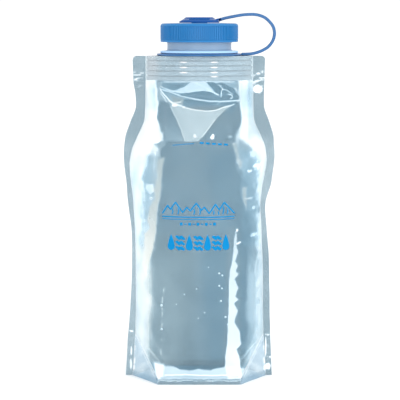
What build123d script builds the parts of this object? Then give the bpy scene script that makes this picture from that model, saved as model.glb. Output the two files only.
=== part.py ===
from build123d import *
import math
import os

# Folding water bottle: a flat film pouch that stands on its own base when it is full,
# a wide-mouth spout welded into its top, and a screw cap held by a moulded tether.
# Millimetres. The origin is the centre of the base, +Z is up, and the front faces -Y.

# ---- Driving dimensions ----
BOTTLE_HALF_WIDTH = 67.5  # the pouch's widest point, at the shoulders
SHOULDER_Z = 285.6  # top of the weld base and of the film
WELD_BASE_HEIGHT = 21.0
MOUTH_R = 26.5  # bore of the wide mouth
CAP_R = 34.0  # over the grip ribs
CAP_HEIGHT = 16.5
THREAD_PITCH = 6.0
FILM = 0.4  # one ply of the laminate

# ---- Spout: weld base ----
BOAT_HALF_LENGTH = 46.5
BOAT_HALF_DEPTH = 31.5
BOAT_WALL = 1.6
RIB_DEPTH = 1.0
RIB_THICKNESS = 3.2
RIB_COUNT = 5
TOP_PLATE = 2.2
WELD_BASE_Z = SHOULDER_Z - WELD_BASE_HEIGHT

# ---- Spout: neck ----
GROOVE_R = 29.3  # the tether's neck ring turns in this groove
BEAD_Z = SHOULDER_Z + 2.2
BEAD_HEIGHT = 2.3
BEAD_R = 34.3
WAIST_R = 28.1
FINISH_R = 29.6  # neck wall under the thread
THREAD_TIP_R = 31.2
FINISH_Z = 298.4  # where the waist has widened to the finish
NECK_TOP_Z = 312.0
NECK_THREAD_Z = 301.5
NECK_THREAD_TURNS = 1.5

# ---- Cap ----
CAP_Z = 297.6
CAP_TOP_Z = CAP_Z + CAP_HEIGHT
CAP_DISC = 1.8
CAP_BORE_R = 31.6
CAP_WALL_R = 33.4
CAP_THREAD_TIP_R = 30.1
CAP_THREAD_TURNS = 1.25
CAP_THREAD_ANGLE = 90.0
CAP_RIBS = 120
CAP_EDGE = 2.3  # height of the rounded top edge
CAP_BAND = 1.5  # plain band round the foot of the skirt
PLUG_R = 26.3  # sealing ring that enters the mouth
PLUG_WALL = 1.1
PLUG_DEPTH = 3.4

# ---- Tether and its button ----
POST_R = 7.0  # blind post on the cap
POST_HEIGHT = 3.3
BUTTON_STEM_R = 9.0
BUTTON_HEAD_R = 13.7
BUTTON_CROWN_R = 12.1
BUTTON_HEAD = 1.5
BUTTON_Z = CAP_TOP_Z + 0.2
BUTTON_TOP_Z = CAP_TOP_Z + 5.0
RUNNING = 0.06  # radial clearance of a turning fit
CAP_RING_BORE_R = 9.3
CAP_RING_R = 17.5
CAP_RING_TOP_R = 13.9
CAP_RING_Z = CAP_TOP_Z + 0.2
CAP_RING_HEIGHT = 3.1
CAP_RING_EDGE = 1.2
NECK_RING_BORE_R = GROOVE_R + 0.3
NECK_RING_R = 37.4
NECK_RING_Z = SHOULDER_Z + 0.3
NECK_RING_HEIGHT = 1.7
STRAP_THICKNESS = 2.6
STRAP_WIDTH = 5.5
STRAP_GAP = 0.05  # between the strap and the rings it is moulded with
STRAP_ROOT_X = 19.0  # end of the upper ring's root, where the strap starts
STRAP_ARC = 0.45  # share of the shorter run that each corner's arc takes up
STRAP_ROUTE = [
    (STRAP_ROOT_X + STRAP_GAP, 317.4),
    (30.3, 319.8),
    (41.5, 321.65),
    (50.4, 321.6),
    (58.3, 318.6),
    (64.0, 312.9),
    (66.1, 305.6),
    (64.9, 298.8),
    (60.3, 293.0),
    (53.6, 289.1),
    (46.0, 287.3),
    (NECK_RING_R + STRAP_GAP, SHOULDER_Z + 1.45),
]

# ---- Pouch ----
# Height, half width to the inner weld line, half depth of the filled body.
FOLD_Z = 38.0  # where the base film's side folds reach the side welds
BODY_LEVELS = [
    (FOLD_Z, 57.2, 37.8),
    (70.0, 56.6, 38.4),
    (112.0, 56.7, 38.6),
    (155.0, 58.4, 38.5),
    (190.0, 61.6, 38.0),
    (203.0, 59.4, 37.5),
    (214.0, 54.8, 36.8),
    (232.0, 47.9, 35.2),
]
# Height and half width to the outer edge of the side weld.
EDGE_LEVELS = [
    (0.0, 65.0),
    (22.0, 63.6),
    (60.0, 61.7),
    (110.0, 60.8),
    (152.0, 61.6),
    (176.0, 65.4),
    (197.0, BOTTLE_HALF_WIDTH),
    (213.0, 66.3),
    (228.0, 61.6),
    (243.0, 57.6),
    (SHOULDER_Z, 58.8),
]
BASE_HALF_WIDTH = 36.0  # straight front edge of the base
BASE_HALF_DEPTH = 37.0
BASE_CORNER_X = 60.0  # where the front and back panels meet on the floor
BASE_WELD_HEIGHT = 5.5
PILLOW_TOP_Z = 195.0  # above it the panels turn from a pillow to the weld base's arc
SIDE_WELD_HALF = FILM / 2 + 0.05
SIDE_WELD_CORNER = 4.0
SPOUT_GAP = 0.05  # between the panels and the weld base they wrap
WELD_GAP = 0.25
FLOOR_MARGIN = 0.8  # the base film's floor stops this far inside the panels
FOLD_MARGIN = 1.2  # and its folds this far inside the weld lines
CORNER_MARGIN = 0.9  # the corner welds stop this far outside the folds
BODY_STATIONS = [FOLD_Z + (WELD_BASE_Z - FOLD_Z) * step / 17 for step in range(18)]

# The weld base is a pointed oval of two arcs, centred this far behind its middle.
BOAT_R = (BOAT_HALF_LENGTH**2 + BOAT_HALF_DEPTH**2) / (2 * BOAT_HALF_DEPTH)
BOAT_CENTRE = BOAT_R - BOAT_HALF_DEPTH


def oval_half_length(offset):
    """Half length of the weld base's oval, moved out by offset."""
    return math.sqrt((BOAT_R + offset) ** 2 - BOAT_CENTRE**2)


PANEL_OFFSET = SPOUT_GAP + FILM
BODY_LEVELS.append(
    (WELD_BASE_Z, oval_half_length(PANEL_OFFSET), BOAT_HALF_DEPTH + PANEL_OFFSET)
)


def reading(levels, z, column=1):
    """A column of a levels table at height z, smooth and without overshoot."""
    heights = [row[0] for row in levels]
    values = [row[column] for row in levels]
    last = len(heights) - 1
    rises = [(values[i + 1] - values[i]) / (heights[i + 1] - heights[i]) for i in range(last)]
    slopes = [rises[0]]
    for before, after in zip(rises, rises[1:]):
        slopes.append(2 * before * after / (before + after) if before * after > 0 else 0.0)
    slopes.append(rises[-1])
    at = max(i for i in range(last) if heights[i] <= max(z, heights[0]))
    span = heights[at + 1] - heights[at]
    u = (z - heights[at]) / span
    ahead = u * u * (3 - 2 * u)
    bend = slopes[at] * u * (1 - u) ** 2 - slopes[at + 1] * u * u * (1 - u)
    return values[at] + ahead * (values[at + 1] - values[at]) + span * bend


def fold_share(z):
    """How far up the base film's side folds height z is, from 0 to 1."""
    return min(1.0, max(0.0, (z - BASE_WELD_HEIGHT) / (FOLD_Z - BASE_WELD_HEIGHT)))


def weld_line(z):
    """Where a panel's edge is at height z: (x, depth in front of the weld plane)."""
    share = fold_share(z)
    if share == 1:
        return reading(BODY_LEVELS, z), 0.0
    x = BASE_HALF_WIDTH + share * (BODY_LEVELS[0][1] - BASE_HALF_WIDTH)
    return x, BASE_HALF_DEPTH * (1 - share)


def half_depth(z):
    """Depth of the filled body at its middle, at height z."""
    share = fold_share(z)
    if share == 1:
        return reading(BODY_LEVELS, z, 2)
    return BASE_HALF_DEPTH + share * (BODY_LEVELS[0][2] - BASE_HALF_DEPTH)


def bulge(t, z):
    """Share of the bulge at t of the half width: a pillow, then the weld base's arc."""
    pillow = (1 - abs(t) ** 2.4) ** 0.8
    offset_r = BOAT_R + PANEL_OFFSET
    across = t * oval_half_length(PANEL_OFFSET)
    arc = (math.sqrt(offset_r**2 - across**2) - BOAT_CENTRE) / (offset_r - BOAT_CENTRE)
    share = min(1.0, max(0.0, (z - PILLOW_TOP_Z) / (WELD_BASE_Z - PILLOW_TOP_Z)))
    share = share * share * (3 - 2 * share)
    return share * max(0.0, arc) + (1 - share) * pillow


def ply_section(z):
    """Section of the front panel's ply at height z: one thin strip, face to inner face."""
    edge_x, edge_depth = weld_line(z)
    reach = half_depth(z) - edge_depth
    outer = []
    for step in range(-6, 7):
        t = math.sin(step * math.pi / 12)
        outer.append((t * edge_x, -edge_depth - reach * bulge(t, z)))
    inner = []
    for before, (x, y), after in zip(outer, outer[1:], outer[2:]):
        along_x, along_y = after[0] - before[0], after[1] - before[1]
        length = math.hypot(along_x, along_y)
        inner.append((x - FILM * along_y / length, y + FILM * along_x / length))
    turn = fold_share(z) * math.pi / 2
    end_x, end_y = edge_x - FILM * math.sin(turn), FILM * math.cos(turn) - edge_depth
    inner = [(-end_x, end_y), *inner, (end_x, end_y)]
    face_curve = Spline(*[(x, y, z) for x, y in outer])
    back_curve = Spline(*[(x, y, z) for x, y in inner])
    ends = [Line(face_curve @ side, back_curve @ side) for side in (0, 1)]
    return make_face([face_curve, back_curve, *ends])


def film_panel():
    """Front panel: one ply, bulged by the water, wrapped over the weld base."""
    skirt = extrude(ply_section(0), BASE_WELD_HEIGHT, dir=(0, 0, 1))
    fold_rise = (FOLD_Z - BASE_WELD_HEIGHT) / 4
    foot = loft([ply_section(BASE_WELD_HEIGHT + fold_rise * step) for step in range(5)])
    body = loft([ply_section(z) for z in BODY_STATIONS])
    collar = extrude(ply_section(WELD_BASE_Z), WELD_BASE_HEIGHT, dir=(0, 0, 1))
    return skirt + foot + body + collar


def side_weld(sign):
    """The two plies welded together outside the body, from the floor to the top edge."""
    inner = [(weld_line(z)[0] + WELD_GAP, z) for z in BODY_STATIONS]
    rise = SHOULDER_Z / 22
    outer = [(reading(EDGE_LEVELS, rise * step), rise * step) for step in range(23)]
    foot = (BASE_CORNER_X + WELD_GAP, 0.0)
    neck = (inner[-1][0], SHOULDER_Z)
    corners = [foot, inner[0], inner[-1], neck, outer[-1], outer[0]]
    at = [(x, 0, z) for x, z in corners]
    face = make_face(
        [
            Line(at[0], at[1]),
            Spline(*[(x, 0, z) for x, z in inner]),
            Line(at[2], at[3]),
            Line(at[3], at[4]),
            Spline(*[(x, 0, z) for x, z in outer]),
            Line(at[5], at[0]),
        ]
    )
    strip = extrude(face, SIDE_WELD_HALF, dir=(0, 1, 0), both=True)
    corner = strip.edges().filter_by(Axis.Y).sort_by(Axis.Z)[-2:].sort_by(Axis.X)[-1]
    strip = fillet(corner, SIDE_WELD_CORNER)
    return strip if sign > 0 else mirror(strip, about=Plane.YZ)


def plate(points, thickness):
    """A thin plate on a polygon of points in space, thickened to one side."""
    return extrude(make_face(Polyline(*points, close=True)), thickness)


def base_gusset():
    """Base film: flat on the floor, with a fold rising to the weld line at each side."""
    w, d = BASE_HALF_WIDTH, BASE_HALF_DEPTH - FILM
    floor = Pos(0, 0, FILM / 2) * Box(2 * w, 2 * (d - FLOOR_MARGIN), FILM)
    tip = (BODY_LEVELS[0][1] - FOLD_MARGIN - 0.2, 0, FOLD_Z - FOLD_MARGIN)
    heel_y = d - FOLD_MARGIN
    fold = plate([(w, -heel_y, 0), tip, (w, heel_y, 0)], FILM)
    fold = fold - Pos(0, 0, -5) * Box(200, 200, 10)
    return floor + fold + mirror(fold, about=Plane.YZ)


def corner_welds(sign_y):
    """Pair of triangles below the folds, where base film and panel are one flat weld."""
    top = Vector(BODY_LEVELS[0][1] - 0.2, 0, FOLD_Z - 1.6)
    heel = Vector(BASE_CORNER_X - 0.1, 0, 0)
    front = Vector(
        BASE_HALF_WIDTH + CORNER_MARGIN,
        CORNER_MARGIN - BASE_HALF_DEPTH,
        BASE_WELD_HEIGHT - CORNER_MARGIN,
    )
    across = (top - heel).cross(front - heel)
    toe = front + Vector(front.Z * across.Z / across.X, 0, -front.Z)
    one = plate([top, front, toe, heel], 2 * FILM)
    one = one - Pos(0, 100 - FILM, 0) * Box(400, 200, 400) - Pos(0, 0, -5) * Box(200, 200, 10)
    pair = one + mirror(one, about=Plane.YZ)
    return pair if sign_y < 0 else mirror(pair, about=Plane.XZ)


def base_weld(sign_y):
    """Straight weld band at the foot of a panel, on its inner side."""
    middle = BASE_HALF_DEPTH - 1.5 * FILM - 0.05
    return Pos(0, sign_y * middle, BASE_WELD_HEIGHT / 2) * Box(
        2 * BASE_HALF_WIDTH - 2, FILM, BASE_WELD_HEIGHT
    )


def oval(offset, z, height):
    """A solid on the weld base's pointed oval, moved out by offset."""
    half_length = oval_half_length(offset)
    left, right = (-half_length, 0, z), (half_length, 0, z)
    front = (0, -BOAT_HALF_DEPTH - offset, z)
    half = make_face([ThreePointArc(left, front, right), Line(right, left)])
    solid = extrude(half, height, dir=(0, 0, 1))
    return solid + mirror(solid, about=Plane.XZ)


def spout_weld_base():
    """Moulded base that the film is welded to, ribbed for the weld, open underneath."""
    hollow = RIB_DEPTH + BOAT_WALL
    body = oval(-RIB_DEPTH, WELD_BASE_Z, WELD_BASE_HEIGHT)
    gap = (WELD_BASE_HEIGHT - RIB_THICKNESS) / (RIB_COUNT - 1)
    for index in range(RIB_COUNT):
        body = body + oval(0.0, WELD_BASE_Z + index * gap, RIB_THICKNESS)
    body = body - oval(-hollow, WELD_BASE_Z - 1, WELD_BASE_HEIGHT - TOP_PLATE + 1)
    bore = Pos(0, 0, SHOULDER_Z) * Cylinder(MOUTH_R, 2 * WELD_BASE_HEIGHT + 4)
    return body - bore


def turned(points):
    """A solid of revolution about Z from (radius, height) corners."""
    outline = Polyline(*[(r, 0, z) for r, z in points], close=True)
    return revolve(make_face(outline), Axis.Z)


def thread_ridge(wall_r, tip_r, z_start, turns, start_angle):
    """A trapezoidal right-hand thread that stands on a wall of radius wall_r."""
    side = 1 if tip_r > wall_r else -1
    helix = Helix(pitch=THREAD_PITCH, height=THREAD_PITCH * turns, radius=wall_r)
    section = Plane(origin=helix @ 0, x_dir=(1, 0, 0), z_dir=helix % 0)
    root, crest, sunk = 1.1, 0.55, 0.5
    height = abs(tip_r - wall_r)
    corners = [
        (-side * sunk, -root),
        (side * height, -crest),
        (side * height, crest),
        (-side * sunk, root),
    ]
    profile = section * make_face(Polyline(*corners, close=True))
    ridge = sweep(profile, path=helix, is_frenet=True)
    return Pos(0, 0, z_start) * Rot(0, 0, start_angle) * ridge


def spout_neck():
    """Wide-mouth neck: groove for the tether ring, bead, waist and threaded finish."""
    profile = [
        (MOUTH_R, SHOULDER_Z),
        (GROOVE_R, SHOULDER_Z),
        (GROOVE_R, BEAD_Z),
        (BEAD_R - 1.0, BEAD_Z),
        (BEAD_R, BEAD_Z + 0.7),
        (BEAD_R, BEAD_Z + BEAD_HEIGHT - 0.6),
        (BEAD_R - 0.5, BEAD_Z + BEAD_HEIGHT - 0.1),
        (WAIST_R + 1.0, BEAD_Z + BEAD_HEIGHT),
        (WAIST_R, BEAD_Z + BEAD_HEIGHT + 1.1),
        (WAIST_R, FINISH_Z - 1.6),
        (FINISH_R, FINISH_Z),
        (FINISH_R, NECK_TOP_Z - 1.0),
        (FINISH_R - 0.8, NECK_TOP_Z),
        (MOUTH_R + 0.6, NECK_TOP_Z),
        (MOUTH_R, NECK_TOP_Z - 0.6),
    ]
    ridge = thread_ridge(FINISH_R, THREAD_TIP_R, NECK_THREAD_Z, NECK_THREAD_TURNS, 0)
    return turned(profile) + ridge


def rib_ring():
    """Vertical grip ribs round the skirt, cut as one toothed ring."""
    corners = []
    step = 2 * math.pi / CAP_RIBS
    root_r = CAP_WALL_R - 0.1
    for index in range(CAP_RIBS):
        centre = index * step
        for share, radius in ((-0.30, root_r), (-0.18, CAP_R), (0.18, CAP_R), (0.30, root_r)):
            angle = centre + share * step
            corners.append((radius * math.cos(angle), radius * math.sin(angle), 0))
    foot = CAP_BAND + 0.4
    teeth = extrude(make_face(Polyline(*corners, close=True)), CAP_HEIGHT - CAP_EDGE - foot)
    core = Pos(0, 0, CAP_HEIGHT / 2) * Cylinder(CAP_WALL_R - 0.8, 3 * CAP_HEIGHT)
    return Pos(0, 0, CAP_Z + foot) * (teeth - core)


def closure_cap():
    """Screw cap: ribbed skirt, inner thread, sealing ring and the button's post."""
    under = CAP_TOP_Z - CAP_DISC
    profile = [
        (0, under),
        (PLUG_R - PLUG_WALL, under),
        (PLUG_R - PLUG_WALL, under - PLUG_DEPTH + 0.4),
        (PLUG_R - PLUG_WALL + 0.4, under - PLUG_DEPTH),
        (PLUG_R - 0.5, under - PLUG_DEPTH),
        (PLUG_R, under - PLUG_DEPTH + 1.0),
        (PLUG_R, under),
        (CAP_BORE_R, under),
        (CAP_BORE_R, CAP_Z + 0.5),
        (CAP_BORE_R + 0.5, CAP_Z),
        (CAP_R - 0.4, CAP_Z),
        (CAP_R, CAP_Z + 0.4),
        (CAP_R, CAP_Z + CAP_BAND),
        (CAP_WALL_R, CAP_Z + CAP_BAND + 0.5),
        (CAP_WALL_R, CAP_TOP_Z - CAP_EDGE - 0.4),
        (CAP_R, CAP_TOP_Z - CAP_EDGE),
        (CAP_R - 0.3, CAP_TOP_Z - 1.5),
        (CAP_R - 0.9, CAP_TOP_Z - 0.8),
        (CAP_R - 1.9, CAP_TOP_Z - 0.4),
        (CAP_R - 3.2, CAP_TOP_Z - 0.3),
        (CAP_RING_R + 1.5, CAP_TOP_Z),
        (POST_R, CAP_TOP_Z),
        (POST_R, CAP_TOP_Z + POST_HEIGHT - 0.5),
        (POST_R - 0.5, CAP_TOP_Z + POST_HEIGHT),
        (0, CAP_TOP_Z + POST_HEIGHT),
    ]
    turn_share = CAP_THREAD_ANGLE / 360
    ridge_z = NECK_THREAD_Z - THREAD_PITCH / 2 + THREAD_PITCH * turn_share
    ridge = thread_ridge(
        CAP_BORE_R, CAP_THREAD_TIP_R, ridge_z, CAP_THREAD_TURNS, CAP_THREAD_ANGLE
    )
    return turned(profile) + rib_ring() + ridge


def cap_button():
    """Round button, snapped over the cap's post, that keeps the tether's ring on."""
    head_z = BUTTON_TOP_Z - BUTTON_HEAD
    profile = [
        (POST_R + RUNNING, BUTTON_Z),
        (BUTTON_STEM_R, BUTTON_Z),
        (BUTTON_STEM_R, head_z),
        (BUTTON_HEAD_R, head_z),
        (BUTTON_HEAD_R, head_z + 0.2),
        (BUTTON_CROWN_R, BUTTON_TOP_Z - 0.3),
        (BUTTON_CROWN_R - 0.4, BUTTON_TOP_Z),
        (0, BUTTON_TOP_Z),
        (0, CAP_TOP_Z + POST_HEIGHT + 0.2),
        (POST_R + RUNNING, CAP_TOP_Z + POST_HEIGHT + 0.2),
    ]
    return turned(profile)


def tether_cap_ring():
    """Upper ring of the tether, loose round the button's stem, with the strap's root."""
    top = CAP_RING_Z + CAP_RING_HEIGHT
    ring = turned(
        [
            (CAP_RING_BORE_R, CAP_RING_Z),
            (CAP_RING_R, CAP_RING_Z),
            (CAP_RING_R, CAP_RING_Z + CAP_RING_EDGE),
            (CAP_RING_TOP_R, top),
            (CAP_RING_BORE_R, top),
        ]
    )
    root_z = STRAP_ROUTE[0][1]
    half = STRAP_THICKNESS / 2
    run_x, run_z = (b - a for a, b in zip(STRAP_ROUTE[0], STRAP_ROUTE[1]))
    lean = half * run_z / run_x
    side = [
        (CAP_RING_TOP_R, 0, top - half),
        (STRAP_ROOT_X + lean, 0, root_z - half),
        (STRAP_ROOT_X - lean, 0, root_z + half),
        (CAP_RING_TOP_R + 0.2, 0, top),
    ]
    face = make_face(Polyline(*side, close=True))
    return ring + extrude(face, STRAP_WIDTH / 2, dir=(0, 1, 0), both=True)


def tether_neck_ring():
    """Lower ring of the tether, loose in the neck's groove under the bead."""
    top = NECK_RING_Z + NECK_RING_HEIGHT
    return turned(
        [
            (NECK_RING_BORE_R, NECK_RING_Z),
            (NECK_RING_R - 0.5, NECK_RING_Z),
            (NECK_RING_R, NECK_RING_Z + 0.5),
            (NECK_RING_R, top - 0.6),
            (NECK_RING_R - 0.6, top),
            (NECK_RING_BORE_R, top),
        ]
    )


def tether_strap():
    """Flat strap from the upper ring, out over the cap's edge and back to the lower ring."""
    radii = []
    for before, at, after in zip(STRAP_ROUTE, STRAP_ROUTE[1:], STRAP_ROUTE[2:]):
        run = min(math.dist(before, at), math.dist(at, after))
        heading_in = math.atan2(at[1] - before[1], at[0] - before[0])
        heading_out = math.atan2(after[1] - at[1], after[0] - at[0])
        turn = math.remainder(heading_out - heading_in, 2 * math.pi)
        radii.append(STRAP_ARC * run / math.tan(abs(turn) / 2))
    centre = FilletPolyline(*[(x, 0, z) for x, z in STRAP_ROUTE], radius=radii)
    section = Plane(origin=centre @ 0, x_dir=(0, 1, 0), z_dir=centre % 0)
    profile = section * Rectangle(STRAP_WIDTH, STRAP_THICKNESS)
    return sweep(profile, path=centre)


os.makedirs("parts", exist_ok=True)
front_panel = film_panel()
nodes = {
    "front_film_panel": front_panel,
    "back_film_panel": mirror(front_panel, about=Plane.XZ),
    "left_side_weld": side_weld(-1),
    "right_side_weld": side_weld(1),
    "base_gusset_film": base_gusset(),
    "front_corner_welds": corner_welds(-1),
    "back_corner_welds": corner_welds(1),
    "front_base_weld": base_weld(-1),
    "back_base_weld": base_weld(1),
    "spout_weld_base": spout_weld_base(),
    "spout_neck": spout_neck(),
    "tether_neck_ring": tether_neck_ring(),
    "tether_strap": tether_strap(),
    "tether_cap_ring": tether_cap_ring(),
    "cap_button": cap_button(),
    "closure_cap": closure_cap(),
}
for name, shape in nodes.items():
    export_step(shape, f"parts/{name}.step")
    print(name, "solids", len(shape.solids()), "volume", round(shape.volume, 1))
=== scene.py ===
"""Looks for the folding water bottle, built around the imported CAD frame.

Shapes are laid out in millimetres in the CAD frame, and stored in metres.
"""

import math

import bmesh
import bpy
import numpy as np
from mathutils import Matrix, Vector, noise
from mathutils.bvhtree import BVHTree


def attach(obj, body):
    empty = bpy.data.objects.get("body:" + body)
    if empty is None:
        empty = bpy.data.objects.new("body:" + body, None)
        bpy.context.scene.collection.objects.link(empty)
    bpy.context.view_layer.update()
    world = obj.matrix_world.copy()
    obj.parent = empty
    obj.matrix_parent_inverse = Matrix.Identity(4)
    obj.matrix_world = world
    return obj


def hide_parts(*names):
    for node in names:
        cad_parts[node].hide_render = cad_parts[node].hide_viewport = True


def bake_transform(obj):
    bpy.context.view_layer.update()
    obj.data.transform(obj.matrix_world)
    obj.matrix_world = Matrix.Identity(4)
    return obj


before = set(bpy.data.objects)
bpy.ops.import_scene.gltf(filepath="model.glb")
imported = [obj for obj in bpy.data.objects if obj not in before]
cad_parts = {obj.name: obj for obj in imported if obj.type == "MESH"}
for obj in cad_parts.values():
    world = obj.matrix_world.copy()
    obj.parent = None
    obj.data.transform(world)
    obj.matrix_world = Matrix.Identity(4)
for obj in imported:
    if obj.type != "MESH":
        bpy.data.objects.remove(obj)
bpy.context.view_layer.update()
MM = 0.001

# ---- Shape of the pouch, as in the CAD model, in millimetres ----
FOLD_Z = 38.0
SKIRT_Z = 5.5
WELD_BASE_Z = 264.6
SHOULDER_Z = 285.6
BODY_LEVELS = [
    (FOLD_Z, 57.2, 37.8),
    (70.0, 56.6, 38.4),
    (112.0, 56.7, 38.6),
    (155.0, 58.4, 38.5),
    (190.0, 61.6, 38.0),
    (203.0, 59.4, 37.5),
    (214.0, 54.8, 36.8),
    (232.0, 47.9, 35.2),
    (WELD_BASE_Z, 46.98, 31.95),
]
EDGE_LEVELS = [
    (0.0, 65.0),
    (22.0, 63.6),
    (60.0, 61.7),
    (110.0, 60.8),
    (152.0, 61.6),
    (176.0, 65.4),
    (197.0, 67.5),
    (213.0, 66.3),
    (228.0, 61.6),
    (243.0, 57.6),
    (SHOULDER_Z, 58.8),
]
BASE_HALF_WIDTH = 36.0
BASE_HALF_DEPTH = 37.0
BASE_CORNER_X = 60.0
OVAL_R = 50.52
OVAL_CENTRE = 18.57
PLY = 0.22
RIB_PITCH = 4.45  # of the weld base, seen through the film

# ---- Where this bottle differs from the even shape: (height, move outwards) ----
RIGHT_BODY_PULL = [
    (0, 0), (90, 0), (120, -1.3), (139, -2.7), (155, -4.4), (168, -4.4), (182, -3.4), (200, -1.2),
    (212, 0), (286, 0),
]
RIGHT_EDGE_PULL = [
    (0, 0), (60, 1.2), (90, 1.5), (112, 0.8), (130, -1.0), (156, -3.2), (174, -1.4), (200, -1.0),
    (225, 0), (240, -0.6), (252, -0.7), (286, -0.7),
]
LEFT_EDGE_PULL = [
    (0, 1.0), (26, 1.2), (50, 0.6), (78, -0.4), (104, -0.9), (130, -0.9), (156, 1.3), (176, -0.7),
    (226, -0.7), (240, -1.8), (252, -1.4), (264, 0), (286, 0),
]


# ---- Helpers ----
def smooth(low, high, value):
    """Smooth step of a number or an array from 0 at low to 1 at high."""
    share = np.clip((value - low) / (high - low), 0.0, 1.0)
    return share * share * (3 - 2 * share)


def reading(levels, z, column=1):
    """A column of a levels table at height z, smooth and without overshoot."""
    heights = [row[0] for row in levels]
    values = [row[column] for row in levels]
    last = len(heights) - 1
    z = min(max(z, heights[0]), heights[-1])
    rises = [(values[i + 1] - values[i]) / (heights[i + 1] - heights[i]) for i in range(last)]
    slopes = [rises[0]]
    for before, after in zip(rises, rises[1:]):
        slopes.append(2 * before * after / (before + after) if before * after > 0 else 0.0)
    slopes.append(rises[-1])
    at = max(i for i in range(last) if heights[i] <= z)
    span = heights[at + 1] - heights[at]
    u = (z - heights[at]) / span
    ahead = u * u * (3 - 2 * u)
    bend = slopes[at] * u * (1 - u) ** 2 - slopes[at + 1] * u * u * (1 - u)
    return values[at] + ahead * (values[at + 1] - values[at]) + span * bend


def rough(x, z, scale_x, scale_z, seed):
    """Smooth noise from -1 to 1 at (x, z) in millimetres, with a size along each axis."""
    return noise.noise(Vector((x / scale_x, z / scale_z, seed * 7.31)))


def rough_grid(x, z, scale_x, scale_z, seed):
    """The same noise over arrays."""
    flat = [rough(a, b, scale_x, scale_z, seed) for a, b in zip(x.ravel(), z.ravel())]
    return np.array(flat).reshape(x.shape)


def beside(route, x, z):
    """How far each point is from an open route, in millimetres."""
    nearest = np.full(x.shape, 1e6)
    for (x0, z0), (x1, z1) in zip(route, route[1:]):
        run_x, run_z = x1 - x0, z1 - z0
        along = np.clip(((x - x0) * run_x + (z - z0) * run_z) / (run_x**2 + run_z**2), 0, 1)
        nearest = np.minimum(nearest, np.hypot(x - x0 - along * run_x, z - z0 - along * run_z))
    return nearest


def inside(outline, x, z):
    """How far inside a closed outline each point is, in millimetres; negative outside it."""
    closed = outline + outline[:1]
    nearest = beside(closed, x, z)
    within = np.zeros(x.shape, bool)
    for (x0, z0), (x1, z1) in zip(closed, closed[1:]):
        crossing = x0 + (z - z0) * (x1 - x0) / ((z1 - z0) or 1.0)
        within ^= ((z0 > z) != (z1 > z)) & (x < crossing)
    return np.where(within, nearest, -nearest)


def heading(path, index):
    """Unit vector along a path at one of its points."""
    before, after = path[max(0, index - 1)], path[min(len(path) - 1, index + 1)]
    return Vector((after[0] - before[0], after[1] - before[1])).normalized()


def mesh_object(name, points, faces, material):
    """A mesh object from points in millimetres."""
    mesh = bpy.data.meshes.new(name)
    mesh.from_pydata([tuple(float(c) * MM for c in p) for p in points], [], faces)
    mesh.materials.append(material)
    piece = bpy.data.objects.new(name, mesh)
    bpy.context.scene.collection.objects.link(piece)
    return piece


def mesh_piece(name, points, faces, material, body="pouch"):
    """A mesh object that is shaded smooth and rides on a body."""
    piece = mesh_object(name, points, faces, material)
    piece.data.validate()
    piece.data.update()
    for polygon in piece.data.polygons:
        polygon.use_smooth = True
    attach(piece, body)
    return piece


def grid_faces(columns, rows, start=0, flip=False):
    """Quads of a grid of columns by rows points, stored row by row."""
    faces = []
    for row in range(rows - 1):
        for column in range(columns - 1):
            a = start + row * columns + column
            quad = (a, a + 1, a + columns + 1, a + columns)
            faces.append(quad[::-1] if flip else quad)
    return faces


def paint(piece, tones, hazes_and_glints=None, warms=None):
    """Stores the film's painted light and shade at each vertex as its tone, how hazy it is with its painted
    glints, and how creamy it is (below 0: how blue).
    """
    hazes_and_glints = [max(0.0, tone) for tone in tones] if hazes_and_glints is None else hazes_and_glints
    warms = [0.0] * len(tones) if warms is None else warms
    for name, values in (("tone", tones), ("haze_and_glint", hazes_and_glints), ("warm", warms)):
        layer = piece.data.attributes.new(name, "FLOAT", "POINT")
        layer.data.foreach_set("value", [float(value) for value in values])


def thicken(piece, thickness_mm):
    """Gives a sheet a real thickness, towards its back."""
    solid = piece.modifiers.new("ply", "SOLIDIFY")
    solid.thickness = thickness_mm * MM
    solid.offset = -1
    solid.use_quality_normals = True
    solid.use_even_offset = True


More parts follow.
